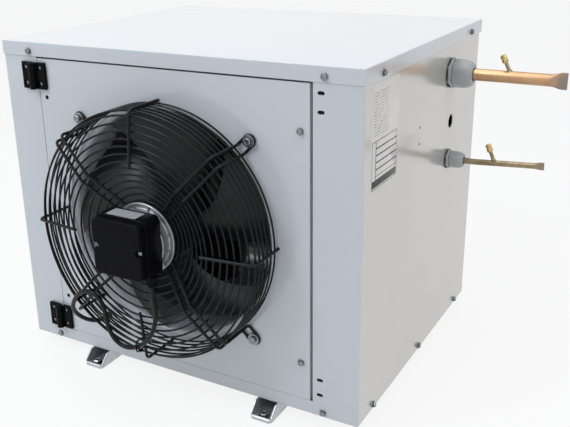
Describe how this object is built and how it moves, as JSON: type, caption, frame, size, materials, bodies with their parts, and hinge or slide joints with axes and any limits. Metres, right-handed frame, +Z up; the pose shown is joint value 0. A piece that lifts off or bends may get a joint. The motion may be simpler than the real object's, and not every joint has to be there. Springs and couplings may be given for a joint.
{
  "type": "refrigeration condensing unit",
  "caption": "Boxed outdoor condensing unit: hinged fan door with wire guard, rear coil, compressor and receiver inside, capped copper stubs on the right.",
  "frame": {"origin": "midway between the two rear foot holes, at the underside of the feet", "axes": "+X across the cabinet towards its copper stubs, -Y out of the fan door, +Z up"},
  "size_m": [0.8042, 0.642, 0.538],
  "materials": {
    "cabinet_paint": "satin pale grey powder coat",
    "galvanised": "satin zinc-coated sheet",
    "zinc_screw": "bright zinc",
    "hinge_plastic": "fine-grained black",
    "shaft_steel": "ground",
    "coil_aluminium": "fine fins",
    "copper": "drawn copper",
    "compressor_black": "semi-gloss black",
    "mount_rubber": "matt",
    "box_black": "moulded black",
    "vessel_black": "semi-gloss black",
    "drier_paint": "satin",
    "valve_brass": "machined",
    "gland_grey": "moulded grey",
    "block_cream": "moulded",
    "fan_black": "satin black coating",
    "guard_black": "glossy black coating",
    "motor_aluminium": "cast",
    "cable_black": "satin sheath",
    "tie_black": "nylon"
  },
  "bodies": {
    "cabinet": {"base_pan": "cabinet_paint", "foot_left": "galvanised", "foot_right": "galvanised", "foot_bolts": "zinc_screw", "side_panel_left": "cabinet_paint", "side_panel_right": "cabinet_paint", "lid": "cabinet_paint", "rear_top_rail": "cabinet_paint", "hinge_leaf_lower": "hinge_plastic", "hinge_leaf_upper": "hinge_plastic", "hinge_pins": "shaft_steel", "hinge_frame_screws": "zinc_screw", "casing_screws": "zinc_screw", "condenser_fins": "coil_aluminium", "condenser_end_plate_left": "galvanised", "condenser_end_plate_right": "galvanised", "condenser_bends_left": "copper", "condenser_bends_right": "copper", "compressor_shell": "compressor_black", "compressor_base": "compressor_black", "compressor_mounts": "mount_rubber", "compressor_cover": "box_black", "liquid_receiver": "vessel_black", "suction_line": "copper", "discharge_line": "copper", "condensate_line": "copper", "receiver_line": "copper", "filter_drier": "drier_paint", "suction_stub": "copper", "liquid_stub": "copper", "service_valve_large": "valve_brass", "service_valve_small": "valve_brass", "gland_large": "gland_grey", "gland_small": "gland_grey", "gland_locknuts": "gland_grey", "control_box": "galvanised", "control_box_cover": "galvanised", "terminal_block": "block_cream"},
    "door": {"door_panel": "cabinet_paint", "door_hinge_leaf_lower": "hinge_plastic", "door_hinge_leaf_upper": "hinge_plastic", "door_hinge_screws": "zinc_screw", "door_screws": "zinc_screw", "venturi_ring": "fan_black", "fan_guard": "guard_black", "guard_screws": "zinc_screw", "motor_stator": "motor_aluminium", "motor_bearings": "shaft_steel", "terminal_box": "box_black", "terminal_box_lid": "box_black", "terminal_box_screws": "zinc_screw", "motor_cable_gland": "box_black", "motor_cable": "cable_black", "cable_tie": "tie_black", "cable_grommet": "mount_rubber", "cable_plug": "box_black"},
    "fan": {"rotor_can": "fan_black", "fan_shaft": "shaft_steel", "impeller": "fan_black"}
  },
  "joints": [
    {"name": "door_swing", "type": "hinge", "parent": "cabinet", "child": "door", "pos_m": [-0.2465, -0.521, 0.279], "axis": [0, 0, -1], "range_deg": [0, 110]},
    {"name": "fan_spin", "type": "hinge", "parent": "door", "child": "fan", "pos_m": [-0.0094, -0.514, 0.275], "axis": [0, 1, 0], "continuous": true}
  ]
}
